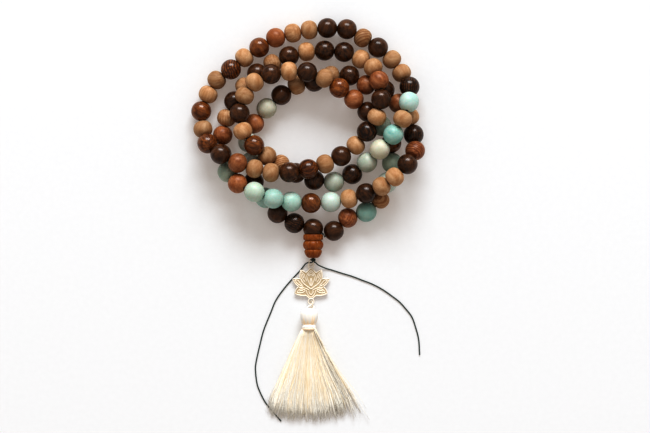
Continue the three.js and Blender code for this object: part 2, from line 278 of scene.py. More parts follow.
WOODS = {
    "s": wood("sandalwood", seen(126, 66, 28), seen(194, 129, 76), seen(238, 182, 128),
              streaks=0.45, roughness=0.5, gloss=0.3),
    "e": wood("ebony", seen(12, 5, 2), seen(44, 20, 7), seen(90, 46, 20),
              streaks=0.95, roughness=0.22, gloss=0.5),
    "r": wood("rosewood", seen(34, 11, 3), seen(104, 43, 12), seen(178, 90, 34),
              streaks=0.95, roughness=0.2, gloss=0.55),
    "p": wood("redwood", seen(78, 28, 9), seen(154, 74, 32), seen(208, 122, 70),
              streaks=0.8, roughness=0.36, gloss=0.4),
}
GURU_WOOD = wood("guru_wood", seen(80, 24, 4), seen(149, 60, 11), seen(180, 86, 26),
                 streaks=0.6, roughness=0.36, gloss=0.35)


def gem(red, green, blue):
    """Like seen, for the stones."""
    return seen(red, green, blue, STONE_LIT)


# Stone colours: body and cloud, by the bead's place on the strand.
PALE = (gem(200, 226, 208), gem(228, 240, 226))
MINT = (gem(158, 218, 198), gem(200, 236, 220))
DIM = (gem(168, 186, 164), gem(204, 214, 194))
DEEP = (gem(132, 160, 138), gem(168, 186, 160))
STONES = {
    3: (gem(110, 168, 154), gem(150, 194, 178)), 5: PALE, 6: DEEP, 8: DEEP, 25: DIM, 27: DIM,
    28: (gem(214, 214, 178), gem(236, 232, 204)), 29: (gem(96, 180, 168), gem(156, 214, 198)),
    31: (gem(166, 222, 210), gem(206, 238, 226)), 76: DEEP,
    78: (gem(184, 218, 192), gem(214, 234, 214)), 79: (gem(146, 200, 184), gem(180, 220, 204)),
    80: MINT, 82: (gem(196, 228, 212), gem(222, 240, 228)),
    99: (gem(194, 196, 164), gem(228, 226, 200)), 101: PALE, 102: PALE,
    104: (gem(124, 184, 168), gem(164, 206, 188)),
}


def stone(name, body, cloud):
    """Matte amazonite: cloudy, with a few paler and browner veins and a frosted surface."""
    look = Look(name, Subsurface_Weight=0.08, Subsurface_Scale=0.002)
    here = look.coords(shift="seed")
    clouds = look.noise(here, scale=0.28, detail=5, roughness=0.6, distortion=0.6)
    veins = look.noise(here, scale=0.5, detail=6, roughness=0.7, distortion=1.6)
    speckle = look.noise(here, scale=3.2)
    colour = look.mix(look.grey(clouds, (0.35, 0.0), (0.65, 1.0)), body, cloud)
    pale = look.grey(veins, (0.485, 0.0), (0.5, 0.55), (0.515, 0.0))
    colour = look.mix(pale, colour, seen(226, 232, 216))
    stains = look.noise(here, scale=0.36, detail=4, roughness=0.6, distortion=2.2)
    stain = look.grey(stains, (0.66, 0.0), (0.78, 0.5))
    colour = look.mix(stain, colour, seen(120, 116, 88))
    colour = look.mix(look.grey(speckle, (0.3, 0.16), (0.5, 0.0)), colour, seen(90, 110, 104))
    look.colour(colour)
    look.rough(look.grey(clouds, (0.3, 0.52), (0.7, 0.4)))
    look.bump(look.noise(here, scale=5.0), distance=0.03, strength=0.35)
    return look.material


def thread_look():
    """Dark waxed cotton, twisted from several strands."""
    look = Look("waxed_thread", Roughness=0.5, Sheen_Weight=0.15)
    here = look.coords()
    strands = look.wave(here, scale=1.6, distortion=1.5, direction="DIAGONAL")
    look.colour(look.ramp(strands, (0.2, seen(8, 18, 15)), (0.9, seen(26, 48, 42))))
    look.bump(strands, distance=0.06, strength=0.8)
    return look.material


def metal_look():
    """Worn silver: bright where it is raised, browner in the engraved ground."""
    look = Look("brushed_silver", Metallic=0.35)
    here = look.coords()
    tarnish = look.noise(here, scale=0.5, detail=4)
    scratches = look.noise(look.coords((0.6, 5.0, 5.0)), scale=1.5)
    ground = look.ramp(tarnish, (0.3, seen(164, 141, 104, lit=1.0)),
                       (0.7, seen(190, 168, 130, lit=1.0)))
    raised = look.ramp(tarnish, (0.3, seen(236, 222, 198, lit=1.0)),
                       (0.7, seen(248, 240, 224, lit=1.0)))
    look.colour(look.mix(look.value("ground"), raised, ground))
    look.rough(look.grey(scratches, (0.3, 0.58), (0.7, 0.46)))
    look.bump(scratches, distance=0.02, strength=0.4)
    return look.material


def silk_look(name, low, high, stretch):
    """Silk threads; each corner's tint value picks between cream, at 0, and tan, at 1."""
    look = Look(name, Sheen_Weight=0.25, Sheen_Roughness=0.4)
    fibres = look.noise(look.coords(stretch), scale=1.0)
    tint = look.math("ADD", look.value("tint"),
                     look.math("MULTIPLY", look.math("SUBTRACT", fibres, 0.5), 0.5))
    look.colour(look.ramp(tint, (0.1, high), (0.9, low)))
    look.rough(look.grey(fibres, (0.3, 0.55), (0.7, 0.36)))
    look.bump(fibres, distance=0.04, strength=0.4)
    return look.material


THREAD = thread_look()
SILVER = metal_look()
ALONG_TASSEL = (3, 0.3, 3)  # fibres drawn out from the head to the end
ROUND_TASSEL = (0.4, 4, 0.4)
SILK = silk_look("silk_threads", low=seen(252, 228, 184, lit=0.85),
                 high=seen(255, 252, 240, lit=0.85), stretch=ALONG_TASSEL)
SILK_HEAD = silk_look("silk_folded", low=seen(244, 204, 150, lit=0.98),
                      high=seen(252, 248, 238, lit=1.2), stretch=ALONG_TASSEL)
SILK_WRAP = silk_look("silk_wrap", low=seen(244, 210, 166, lit=0.95),
                      high=seen(255, 250, 240, lit=1.05), stretch=ROUND_TASSEL)


# ---- loose thread ends ----
THREAD_R = 0.24
CORD_SPAN = 8  # points to each span of a route
# The way of each end, from the knot to where it stops.
LEFT_TAIL = [
    (1.7, -16.7, 3.8), (1.2, -16.95, 2.6), (-0.1, -17, 1.5), (-1.2, -17.7, 0.6),
    (-2.6, -19.5, 0.3), (-4.4, -21.5, 0.3), (-6.8, -24.1, 0.3), (-10, -27.9, 0.3),
    (-13, -32.3, 0.3), (-15, -37.1, 0.3), (-17.8, -44.1, 0.3), (-19.4, -50.3, 0.3),
    (-20.9, -57.1, 0.3), (-21.1, -60.5, 0.3), (-20.5, -65.5, 0.3), (-19.4, -68.7, 0.3),
    (-17.4, -72.7, 0.3), (-15, -75.9, 0.3), (-12.9, -78.3, 0.3), (-10.8, -80.7, 0.3),
]
RIGHT_TAIL = [
    (2.5, -16.7, 4.4), (3.1, -17, 3.6), (3.9, -17.8, 2.2), (5.4, -18.6, 1.1), (7.4, -19.4, 0.5),
    (9.5, -20, 0.3), (13.6, -21.3, 0.3), (17.6, -22.5, 0.3), (21.8, -24.1, 0.3),
    (25.9, -25.7, 0.3), (30, -27.9, 0.3), (34, -30.7, 0.3), (36.8, -32.9, 0.3),
    (38.8, -35.1, 0.3), (41.6, -38.7, 0.3), (43.2, -43.1, 0.3), (44.4, -47.9, 0.3),
    (44.8, -54.1, 0.3),
]


def thread_curve(name, line, radius, node):
    """A round thread along a line, in millimetres."""
    curve = bpy.data.curves.new(name, "CURVE")
    curve.dimensions = "3D"
    curve.bevel_depth = radius * MM
    curve.bevel_resolution = 3
    curve.use_fill_caps = True
    spline = curve.splines.new("POLY")
    spline.points.add(len(line) - 1)
    for point, corner in zip(spline.points, line):
        point.co = (*(MM * c for c in corner), 1)
    curve.materials.append(THREAD)
    piece = bpy.data.objects.new(name, curve)
    scene.collection.objects.link(piece)
    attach(piece, "strand")
    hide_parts(node)
    return piece


left_tail = thread_curve("left_thread_end", catmull(LEFT_TAIL, CORD_SPAN), THREAD_R,
                         "thread_tail_left")
right_tail = thread_curve("right_thread_end", catmull(RIGHT_TAIL, CORD_SPAN), THREAD_R,
                          "thread_tail_right")


# ---- where the beads lie, settled in the same way as the solids ----
BEAD = 8
GAP = 0.3
# By kind: the radius and half the length, as parts of BEAD.
KINDS = {"s": (0.465, 0.4), "e": (0.5, 0.47), "r": (0.5, 0.47), "p": (0.49, 0.45),
         "a": (0.5, 0.485)}
# The kind of each bead, along the thread from one side of the guru bead to the other.
ORDER = ("epasaaraep" "rsesessesr" "sseeaeaaas" "aesseseess" "prsrssrsre"
         "psserseses" "epsseesese" "sespeapaaa" "rasessepes" "pepeseseap" "aaeaeee")
BEADS_PER_STATION = 3
# The way that the strand is laid, four times round; the height tells which lap goes over which.
ROUTE = [
    (9.8, -3, 4), (28, 8.5, 4), (33, 30, 4), (19, 48, 6), (0, 59.5, 10.5), (-22, 55.5, 10.5),
    (-27, 35.5, 8), (-10, 21.5, 4), (10.5, 15.5, 4), (29, 28.5, 10.5), (40, 47.5, 10.5),
    (33, 64, 4), (15, 75.5, 4), (-6.5, 74.5, 4), (-25, 65, 4), (-39.5, 50, 4), (-40, 31.5, 4),
    (-22, 20.5, 10.5), (0, 20, 10.5), (19.5, 30, 6), (29, 48.5, 10.5), (21, 64.5, 4),
    (-0.5, 67.5, 4), (-20.5, 58.5, 4), (-32.5, 40.5, 4), (-32, 20, 4), (-15, 9, 10.5),
    (9, 7, 4), (30, 14, 10.5), (42, 28.5, 4), (35.5, 46.5, 4), (17, 57, 4), (-5, 53, 4),
    (-20, 38, 4), (-20.5, 16, 4), (-5.5, -0.3, 4), (15, -4.6, 4),
]


def settle(beads):
    """Let the beads sink from where the route lays them, with less and less hold on them.
    Neighbours on the thread keep their distance, and beads that meet push apart."""
    sweeps, free_from = 600, 480
    hold_by, sink, reach, straightest = 0.2, 0.03, 14, 0.97
    centres = [list(bead["laid"]) for bead in beads]
    radii = [bead["radius"] for bead in beads]
    halves = [bead["half"] for bead in beads]
    laid = [tuple(bead["laid"]) for bead in beads]
    count = len(beads)
    close = [(i, j) for i in range(count) for j in range(i + 2, count)
             if math.hypot(laid[i][0] - laid[j][0], laid[i][1] - laid[j][1]) < reach]

    def spread(a, b, distance, also_pull):
        x, y, z = b[0] - a[0], b[1] - a[1], b[2] - a[2]
        length = math.sqrt(x * x + y * y + z * z)
        if length >= distance and not also_pull:
            return
        by = (length - distance) / (2 * length)
        a[0] += x * by
        a[1] += y * by
        a[2] += z * by
        b[0] -= x * by
        b[1] -= y * by
        b[2] -= z * by

    for sweep in range(sweeps):
        hold = max(0.0, 1 - sweep / free_from)
        for centre, start in zip(centres, laid):
            centre[0] += hold_by * hold * (start[0] - centre[0])
            centre[1] += hold_by * hold * (start[1] - centre[1])
            centre[2] -= sink * hold
        for i in range(1, count):
            spread(centres[i - 1], centres[i], halves[i - 1] + halves[i] + GAP, True)
            if i > 1:
                length = halves[i - 2] + 2 * halves[i - 1] + halves[i] + 2 * GAP
                spread(centres[i - 2], centres[i], straightest * length, False)
        for i, j in close:
            spread(centres[i], centres[j], radii[i] + radii[j] + GAP, False)
        for centre, radius in zip(centres, radii):
            centre[2] = max(centre[2], radius)
    for bead, centre in zip(beads, centres):
        bead["centre"] = Vector(centre)


laid_route = catmull(ROUTE, BEADS_PER_STATION)
beads = [{"kind": kind, "laid": spot, "radius": KINDS[kind][0] * BEAD,
          "half": KINDS[kind][1] * BEAD} for kind, spot in zip(ORDER, laid_route)]
settle(beads)
first, last = beads[0], beads[-1]

# ---- the guru bead's place and the thread's way round the last bead ----
GURU_R = 4.05
GURU_LENGTH = 9.6
GURU_DROP = 2.2  # from the last bead's middle to the guru bead's top
GURU_LIFT = 0.05
STRAND_R = 0.3  # of the thread through the beads
SIDE = 0.45  # how far either run of the thread lies off the guru bead's axis
AROUND = 0.5  # between the last bead's surface and the middle of the thread round it
PAST_BEAD = 0.1  # how far the thread goes on straight outside each bead
LEAD = 0.6  # the same, before the first bead and after the last
guru_x = last["centre"].x
guru_z = GURU_R + GURU_LIFT
guru_top = last["centre"].y - GURU_DROP
guru_foot = guru_top - GURU_LENGTH


def round_last(degrees, side):
    """A point of the thread on its way round the last bead."""
    turn = math.radians(degrees)
    radius = last["radius"] + AROUND
    return Vector((guru_x + radius * math.cos(turn),
                   last["centre"].y + radius * math.sin(turn), guru_z + side))


def in_guru(y, side):
    """A point of the thread inside the guru bead."""
    return Vector((guru_x, y, guru_z + side))


reaching = [round_last(degrees, SIDE) for degrees in (-80, -55, -26)]
leaving = [round_last(degrees, -SIDE) for degrees in (-45, -66, -84)]
for i, bead in enumerate(beads):
    before = reaching[-1] if i == 0 else beads[i - 1]["centre"]
    after = leaving[0] if bead is last else beads[i + 1]["centre"]
    bead["along"] = (after - before).normalized()


def beyond(bead, reach):
    """A point on a bead's axis, that far from its middle."""
    return bead["centre"] + reach * bead["along"]


def through_bead(bead):
    return [beyond(bead, -bead["half"] - PAST_BEAD), beyond(bead, bead["half"] + PAST_BEAD)]


# The thread runs straight down the guru bead between these two.
straight_from = guru_top - 3.2
straight_to = guru_foot + 0.5
thread_line = [in_guru(straight_to, SIDE), in_guru(straight_from, SIDE), *reaching,
               beyond(first, -first["half"] - LEAD)]
for bead in beads:
    thread_line += through_bead(bead)
thread_line += [beyond(last, last["half"] + LEAD), *leaving, in_guru(straight_from, -SIDE),
                in_guru(straight_to, -SIDE)]
thread_curve("strand_cord", thread_line, STRAND_R, "strand_thread")


# ---- beads ----
chance = random.Random(108)
BEAD_SIDES = 36
BEAD_ARCS = 22
HOLE_R = 0.55
TOUCH = 0.15  # beads reach this much further than the solids, to touch their neighbours


def bead_profile(radius, half, fullness):
    """A closed loop of (radius, height): round outside, rolled rim, straight hole.
    Fullness 2 is a plain ellipse, and more makes the shoulders broader."""
    rim, rolled = 0.16, 0.04
    power = 2 / fullness
    edge = math.acos(((HOLE_R + rim) / radius) ** (1 / power))
    stretch = (half + TOUCH) / math.sin(edge) ** power
    profile = []
    for k in range(BEAD_ARCS + 1):
        turn = -edge + 2 * edge * k / BEAD_ARCS
        height = math.copysign(abs(math.sin(turn)) ** power, turn)
        profile.append((radius * math.cos(turn) ** power, stretch * height))
    top = profile[-1][1]
    profile.append((HOLE_R + rolled, top - rolled))
    profile.append((HOLE_R, top - rim))
    for height in (0.5, 0, -0.5):
        profile.append((HOLE_R, height * top))
    profile.append((HOLE_R, rim - top))
    profile.append((HOLE_R + rolled, rolled - top))
    return profile


STRIPED = (32, 44, 88, 106)  # the beads whose growth bands stand out most
UNEVEN = {"s": 0.012, "a": 0.014}  # the matte kinds, as shares of their size
POLISHED_UNEVEN = 0.005
LUMPS = 0.22  # how many lumps there are to a millimetre


def random_turn():
    """A turn of any size about any axis."""
    axis = Vector((chance.gauss(0, 1), chance.gauss(0, 1), chance.gauss(0, 1))).normalized()
    return Matrix.Rotation(chance.uniform(0, 2 * math.pi), 3, axis)


def run_of(number):
    """The CAD node that a bead belongs to: its own, or a run such as beads_009_to_012."""
    own = f"bead_{number:03d}"
    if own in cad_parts:
        return own
    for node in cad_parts:
        if node.startswith("beads_"):
            low, high = (int(word) for word in node.split("_") if word.isdigit())
            if low <= number <= high:
                return node
    return None


def uneven(corners, amount, size, seed):
    """Push corners in and out a little, so that no two pieces are quite alike."""
    shift = Vector((seed, seed, seed))
    return [c * (1 + amount * noise.noise(c * size + shift)) for c in corners]


def wood_values(corners, seed, tone, figure):
    """What the woods and stones read, the same for every corner of a piece."""
    numbers = {"seed": seed, "tone": tone, "figure": figure}
    return {key: [number] * len(corners) for key, number in numbers.items()}


def make_bead(number, bead):
    """One bead, with its own tone, figure and grain."""
    kind = bead["kind"]
    seed = chance.uniform(0, 400)
    wide, fullness = (1.02, 2.25) if kind == "s" else (1.0, 2.08)
    profile = bead_profile(wide * bead["radius"], bead["half"], fullness)
    corners, faces = lathe(profile, BEAD_SIDES)
    corners = uneven(corners, UNEVEN.get(kind, POLISHED_UNEVEN), LUMPS, seed)
    side = bead["along"].cross(UP).normalized()
    up = side.cross(bead["along"])
    strung = Matrix((side, bead["along"], up)).transposed()
    grain = random_turn()  # the wood's grain runs its own way in each bead
    corners = [grain.inverted() @ strung @ c for c in corners]
    if kind == "a":
        name, body = f"stone_bead_{number:03d}", f"stone_{number:03d}"
        material = stone(f"amazonite_{number:03d}", *STONES[number])
    else:
        name, body, material = f"wood_bead_{number:03d}", "strand", WOODS[kind]
    tone = chance.uniform(0.84, 1.14)
    figure = 1.0 if number in STRIPED else chance.random() ** 2
    piece = place(name, body, (corners, faces), material,
                  Matrix.Translation(bead["centre"]) @ grain.to_4x4(),
                  values=wood_values(corners, seed, tone, figure))
    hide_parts(run_of(number))


for number, bead in enumerate(beads, 1):
    make_bead(number, bead)


# ---- guru bead: three carved tiers ----
TIERS = [
    # (radius, height above the foot, depth of the carved valleys, half a petal's turn or none)
    (1.15, 0.9, 0, 0), (1.2, 0.05, 0, 0), (1.9, 0.1, 0, 0), (2.5, 0.5, 0.12, 0),
    (3.0, 1.1, 0.3, 0), (3.4, 1.9, 0.42, 0), (3.58, 2.5, 0.42, 0), (3.52, 3.0, 0.35, 0),
    (3.3, 3.25, 0.2, 0), (3.12, 3.4, 0.05, 0), (3.25, 3.55, 0.05, 1), (3.6, 3.9, 0.22, 1),
    (3.92, 4.6, 0.42, 1), (4.05, 5.3, 0.46, 1), (3.95, 6.0, 0.42, 1), (3.7, 6.5, 0.3, 1),
    (3.45, 6.8, 0.12, 1), (3.32, 6.95, 0.05, 0), (3.5, 7.1, 0.1, 0), (3.85, 7.35, 0.26, 0),
    (4.03, 7.9, 0.36, 0), (4.05, 8.5, 0.34, 0), (3.98, 9.0, 0.25, 0), (3.85, 9.35, 0.12, 0),
    (3.6, 9.5, 0.05, 0), (2.8, 8.9, 0, 0), (1.9, 8.3, 0, 0), (1.2, 8.1, 0, 0),
]
PETALS_ROUND = 8


def guru_geometry():
    """Tiers of petals, each a low bulge between two valleys.
    The bulge, and how far the whole petal is sunk, are shares of the valleys' depth."""
    sides, rows_between, sharpness = 144, 3, 5
    bulge, sunk, carved_from = 0.12, 0.1, 0.1
    rows = []
    for k, row in enumerate(TIERS):
        following = TIERS[(k + 1) % len(TIERS)]
        steps = rows_between if k < len(TIERS) - 1 else 1
        for step in range(steps):
            t = step / steps
            rows.append(tuple(a + t * (b - a) for a, b in zip(row, following)))
    corners = []
    for radius, height, depth, offset in rows:
        for j in range(sides):
            turn = 2 * math.pi * j / sides
            phase = (turn * PETALS_ROUND / (2 * math.pi) + 0.5 * offset) % 1
            edge = abs(2 * phase - 1)
            valley = edge ** sharpness
            crown = bulge * (1 - edge * edge) if depth > carved_from else 0
            r = radius - depth * valley - sunk * depth + crown * depth
            corners.append(Vector((r * math.cos(turn), height, -r * math.sin(turn))))
    return corners, grid_faces(len(rows), sides, closed_rows=True)


guru_corners, guru_faces = guru_geometry()
guru = place("carved_guru_bead", "guru", (guru_corners, guru_faces), GURU_WOOD,
             Matrix.Translation((guru_x, guru_foot, guru_z)),
             values=wood_values(guru_corners, seed=31.0, tone=1.0, figure=0.6))
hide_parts("guru_bead")


# ---- knot ----
def knot_geometry():
    """Thread wound round a core that fills the middle."""
    turns, steps, sides = 2.2, 44, 10
    knot_r, waver, flat = 0.66, 0.1, 0.85
    top, length = -0.25, 0.7
    wound_r, core_r = 0.26, 0.45
    wound = []
    for k in range(steps + 1):
        t = k / steps
        turn = 2 * math.pi * turns * t
        radius = knot_r + waver * math.sin(3 * turn)
        wound.append(Vector((radius * math.cos(turn), top - length * t,
                             flat * radius * math.sin(turn))))
    core = [Vector((0, 0.4, 0.3)), Vector((0.1, -0.3, 0.1)), Vector((-0.1, -0.8, -0.1)),
            Vector((0.1, -1.2, 0))]
    return joined(tube(wound, wound_r, sides), tube(catmull(core, 6), core_r, sides))


KNOT_DROP = 0.15  # below the guru bead's foot
knot = place("tied_knot", "strand", knot_geometry(), THREAD,
             Matrix.Translation((guru_x, guru_foot - KNOT_DROP, guru_z)))
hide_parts("guru_knot")


# ---- lotus charm ----
CHARM = Vector((1.2, -25.5, 0.9))
PLATE = 0.6  # thickness at the eyes
PETAL_TOP = 0.4  # thickness between the raised lines
EYES = ((0, 7.2), (0, -7.0))
EYE_R, EYE_HOLE = 1.35, 0.92
EYE_RISE = 0.12  # how far the eyes' undersides are filed back, for the rings to swing
NECK = (0.5, 6.3)
PETALS = [
    ((0.9, 5.6), (2.1, 4.6)), ((3.2, 5.4), (4.3, 5.7)), ((5.0, 3.4), (4.4, 1.9)),
    ((6.2, 2.4), (7.6, 2.0)), ((6.9, 0.0), (5.1, -1.2)), ((6.5, -2.2), (6.7, -4.0)),
    ((4.6, -5.1), (2.3, -4.8)), ((1.5, -5.2), (0.5, -6.2)),
]
# Raised lines of the right half: the radius of each, and the points that it runs through.
LINES = [
    (0.25, [(4.1, 1.9), (3.5, 0.7), (2.5, -0.3), (1.2, -1.3), (0, -2.15)]),
    (0.19, [(0, 5.4), (1.0, 4.4), (1.65, 3.4), (1.5, 2.2), (1.0, 0.8), (0.3, -0.9)]),
    (0.15, [(0, 4.8), (0.5, 4.1), (0, 3.4)]),
    (0.15, [(0.45, 3.4), (1.1, 3.9), (0.95, 3.1), (0.45, 3.4)]),
    (0.22, [(0, 2.2), (0.34, 0.9), (0.28, -0.2), (0, -1.0)]),
    (0.18, [(4.0, 4.95), (3.95, 3.4), (3.3, 1.9), (2.3, 0.5)]),
    (0.18, [(4.0, 4.95), (2.9, 3.9), (2.3, 2.5), (1.75, 0.9)]),
    (0.22, [(3.5, 4.0), (3.2, 3.1), (2.7, 2.1)]),
    (0.2, [(6.6, 1.6), (5.3, 1.35), (4.5, 0.4), (3.4, -0.7)]),
    (0.2, [(6.6, 1.6), (5.6, 0.2), (4.5, -0.6), (3.1, -1.1)]),
    (0.18, [(4.9, -1.5), (3.4, -1.55), (1.9, -1.95), (0.6, -2.6)]),
    (0.2, [(5.75, -3.45), (4.9, -2.5), (3.9, -2.1), (2.4, -2.5), (2.9, -3.3), (4.3, -3.7),
           (5.75, -3.45)]),
    (0.2, [(4.8, -3.0), (4.0, -2.8), (3.2, -2.85)]),
    (0.2, [(1.9, -2.7), (1.6, -3.8), (0.9, -4.8), (0, -5.5)]),
    (0.2, [(0.8, -2.8), (0.75, -3.6), (0, -4.5)]),
]


def bent(start, control, end, steps):
    """Points of a quadratic arc, without its start."""
    a, b, c = Vector(start), Vector(control), Vector(end)
    return [(1 - t) ** 2 * a + 2 * t * (1 - t) * b + t * t * c
            for t in ((k + 1) / steps for k in range(steps))]


def petal_outline(steps):
    """The charm's edge: the right half's arcs, and the same mirrored."""
    right = [Vector(NECK)]
    for control, corner in PETALS:
        right += bent(right[-1], control, corner, steps)
    left = [Vector((-p.x, p.y)) for p in reversed(right)]
    return right + left


def flat_plate(loops, thickness, bevel, base):
    """A plate with rounded edges, and holes where a loop lies inside another."""
    curve = bpy.data.curves.new("plate", "CURVE")
    curve.dimensions = "2D"
    curve.fill_mode = "BOTH"
    curve.extrude = (thickness / 2 - bevel) * MM
    curve.bevel_depth = bevel * MM
    curve.bevel_resolution = 2
    curve.offset = -bevel * MM
    for loop in loops:
        spline = curve.splines.new("POLY")
        spline.points.add(len(loop) - 1)
        spline.use_cyclic_u = True
        for point, corner in zip(spline.points, loop):
            point.co = (corner[0] * MM, corner[1] * MM, 0, 1)
    holder = bpy.data.objects.new("plate", curve)
    scene.collection.objects.link(holder)
    mesh = bpy.data.meshes.new_from_object(
        holder.evaluated_get(bpy.context.evaluated_depsgraph_get()))
    corners = [Vector(v.co) / MM + Vector((0, 0, base + thickness / 2)) for v in mesh.vertices]
    faces = [tuple(p.vertices) for p in mesh.polygons]
    bpy.data.objects.remove(holder)
    bpy.data.curves.remove(curve)
    bpy.data.meshes.remove(mesh)
    return corners, faces


def circle(centre, radius, steps=28):
    """Points round a circle."""
    return [Vector((centre[0] + radius * math.cos(2 * math.pi * k / steps),
                    centre[1] + radius * math.sin(2 * math.pi * k / steps)))
            for k in range(steps)]


def ridge(points, radius):
    """A raised line, half sunk in the petals' face."""
    line = [Vector((p[0], p[1], PETAL_TOP)) for p in points]
    return tube(line, radius, 8)


def charm_geometry():
    """The charm, and for each corner 1 in the petals' ground and 0 where it's raised."""
    plate_edge, eye_edge = 0.06, 0.12
    rim_inset, rim_r = 0.965, 0.24
    outline = petal_outline(6)
    parts = [flat_plate([outline], PETAL_TOP, plate_edge, 0)]
    ground = [1.0] * len(parts[0][0])
    for eye in EYES:
        parts.append(flat_plate([circle(eye, EYE_R), circle(eye, EYE_HOLE)], PLATE - EYE_RISE,
                                eye_edge, EYE_RISE))
    edge = outline + [outline[0]]
    inset = [Vector((p.x * rim_inset, p.y * rim_inset)) for p in edge]
    parts.append(ridge(inset, rim_r))
    for radius, line in LINES:
        smooth = catmull([(x, y, 0) for x, y in line], 5)
        for sign in (1, -1):
            parts.append(ridge([(sign * p.x, p.y) for p in smooth], radius))
    corners, faces = joined(*parts)
    ground += [0.0] * (len(corners) - len(ground))
    return (corners, faces), ground


charm_parts, charm_ground = charm_geometry()
charm = place("engraved_lotus", "charm", charm_parts, SILVER, Matrix.Translation(CHARM),
              values={"ground": charm_ground})
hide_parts("lotus_charm")


# ---- jump rings ----
WIRE_R = 0.2
UPPER_RING_R = 1.6
LOWER_RING_R = 1.45
RING_GROUND = 0.3  # a little browner than the charm's raised lines


def jump_ring(name, body, node, through, along, across, radius):
    """A wire ring with the small cut that real jump rings have, its ends nearly meeting.
    It passes through a point, and lies in the plane of two directions."""
    u = Vector(along).normalized()
    v = Vector(across)
    v = (v - v.dot(u) * u).normalized()
    centre = Vector(through) + radius * u
    cut_at, cut = 0.9, 0.06
    steps, sides = 56, 12
    line = []
    for k in range(steps + 1):
        turn = cut_at + cut / 2 + (2 * math.pi - cut) * k / steps
        line.append(radius * (math.cos(turn) * u + math.sin(turn) * v))
    ring = tube(line, WIRE_R, sides)
    piece = place(name, body, ring, SILVER, Matrix.Translation(centre),
                  values={"ground": [RING_GROUND] * len(ring[0])})
    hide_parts(node)


UPPER_EYE = (CHARM.x, CHARM.y + EYES[0][1], CHARM.z + PLATE / 2)
LOWER_EYE = (CHARM.x, CHARM.y + EYES[1][1], CHARM.z + PLATE / 2)
jump_ring("top_ring", "upper_ring", "upper_jump_ring", UPPER_EYE, (0.1, 0.9, 0.44),
          (0.64, 0.34, -0.69), UPPER_RING_R)
jump_ring("bottom_ring", "lower_ring", "lower_jump_ring", LOWER_EYE, (0.1, -0.8, 0.4),
          (0.35, 0.46, 0.84), LOWER_RING_R)


# ---- tassel ----
HEAD = Vector((0.4, -38.4, 3.65))
HEAD_R, HEAD_HALF = 3.6, 3.3
WRAP_R, WRAP_LENGTH = 2.85, 1.9
wrap_top = HEAD.y - HEAD_HALF - GAP
skirt_top = wrap_top - WRAP_LENGTH - GAP


def tint_by(geometry, rule):
    """The tint that a rule gives each corner."""
    return {"tint": [rule(c) for c in geometry[0]]}


def head_geometry():
    """Silk threads folded over the top: a round cap, narrower below, with fine ridges."""
    sides, rows = 160, 32
    fullness, taper, narrowest, inside_ridges = 2.6, 0.3, 0.03, 0.97
    ridges, drawn_out, ridge_height = 9, 0.25, 0.045
    profile = []
    for k in range(rows + 1):
        height = -math.cos(math.pi * k / rows)
        if height > 0:
            radius = math.sqrt(1 - height ** fullness)
        else:
            radius = 1 - taper * height * height
        radius = max(radius, narrowest) * HEAD_R * inside_ridges
        profile.append((radius, height * HEAD_HALF))
    corners = []
    for radius, height in profile:
        for j in range(sides):
            turn = 2 * math.pi * j / sides
            strand = noise.noise(Vector((math.cos(turn) * ridges, math.sin(turn) * ridges,
                                         height * drawn_out)))
            r = radius * (1 + ridge_height * strand)
            corners.append(Vector((r * math.cos(turn), height, -r * math.sin(turn))))
    return corners, capped_faces(rows + 1, sides)


def head_tint(corner):
    """Tan in streaks that rise from below, and nearly white on top."""
    streaks, seed, strength, middle = 7, 5, 1.1, -0.25
    turn = math.atan2(corner.z, corner.x)
    streak = noise.noise(Vector((math.cos(turn) * streaks, math.sin(turn) * streaks, seed)))
    return min(1.0, max(0.0, middle - strength * corner.y / HEAD_HALF + strength * streak))


head = head_geometry()
piece = place("silk_head", "tassel", head, SILK_HEAD, Matrix.Translation(HEAD),
              values=tint_by(head, head_tint))
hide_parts("tassel_head")


def wrap_geometry():
    """Thread wound round the neck, in turns that lie side by side."""
    turns, steps_per_turn, sides = 7, 30, 8
    steps = turns * steps_per_turn
    inset, swell, wound_from, short = 0.2, 0.12, 0.16, 0.3
    wound_r = 0.17
    line = []
    for k in range(steps + 1):
        t = k / steps
        turn = 2 * math.pi * turns * t
        radius = WRAP_R - inset - swell * math.cos(2 * math.pi * t) ** 2
        line.append(Vector((radius * math.cos(turn), -wound_from - (WRAP_LENGTH - short) * t,
                            radius * math.sin(turn))))
    core = lathe([(0.2, 0.35), (2.45, 0.3), (2.5, -WRAP_LENGTH - 0.2),
                  (0.2, -WRAP_LENGTH - 0.3)], 40)
    return joined(tube(line, wound_r, sides), core)


def wrap_tint(corner):
    """The upper turns are cream and the lower ones are tan."""
    cream, tan, border = 0.05, 0.75, -1.1
    return cream if corner.y > border else tan


wrap = wrap_geometry()
piece = place("silk_neck", "tassel", wrap, SILK_WRAP,
              Matrix.Translation((HEAD.x, wrap_top, HEAD.z)), values=tint_by(wrap, wrap_tint))
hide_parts("tassel_neck_wrap")

LOOP = [(-0.3, -35.6, 3.9), (-0.1, -34.7, 3.9), (0.5, -34.35, 3.6), (1.0, -34.0, 3.0),
        (1.5, -33.9, 2.3), (2.1, -34.3, 2.0), (2.4, -34.9, 2.5), (2.2, -35.1, 3.2),
        (1.9, -35.7, 3.4)]
LOOP_R = 0.24
LOOP_TINT = 0.15
loop = tube(catmull(LOOP, 8), LOOP_R, 10)
piece = place("silk_loop", "tassel", loop, SILK_WRAP,
              values=tint_by(loop, lambda corner: LOOP_TINT))
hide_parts("tassel_loop")

SKIRT_LENGTH = 35.5
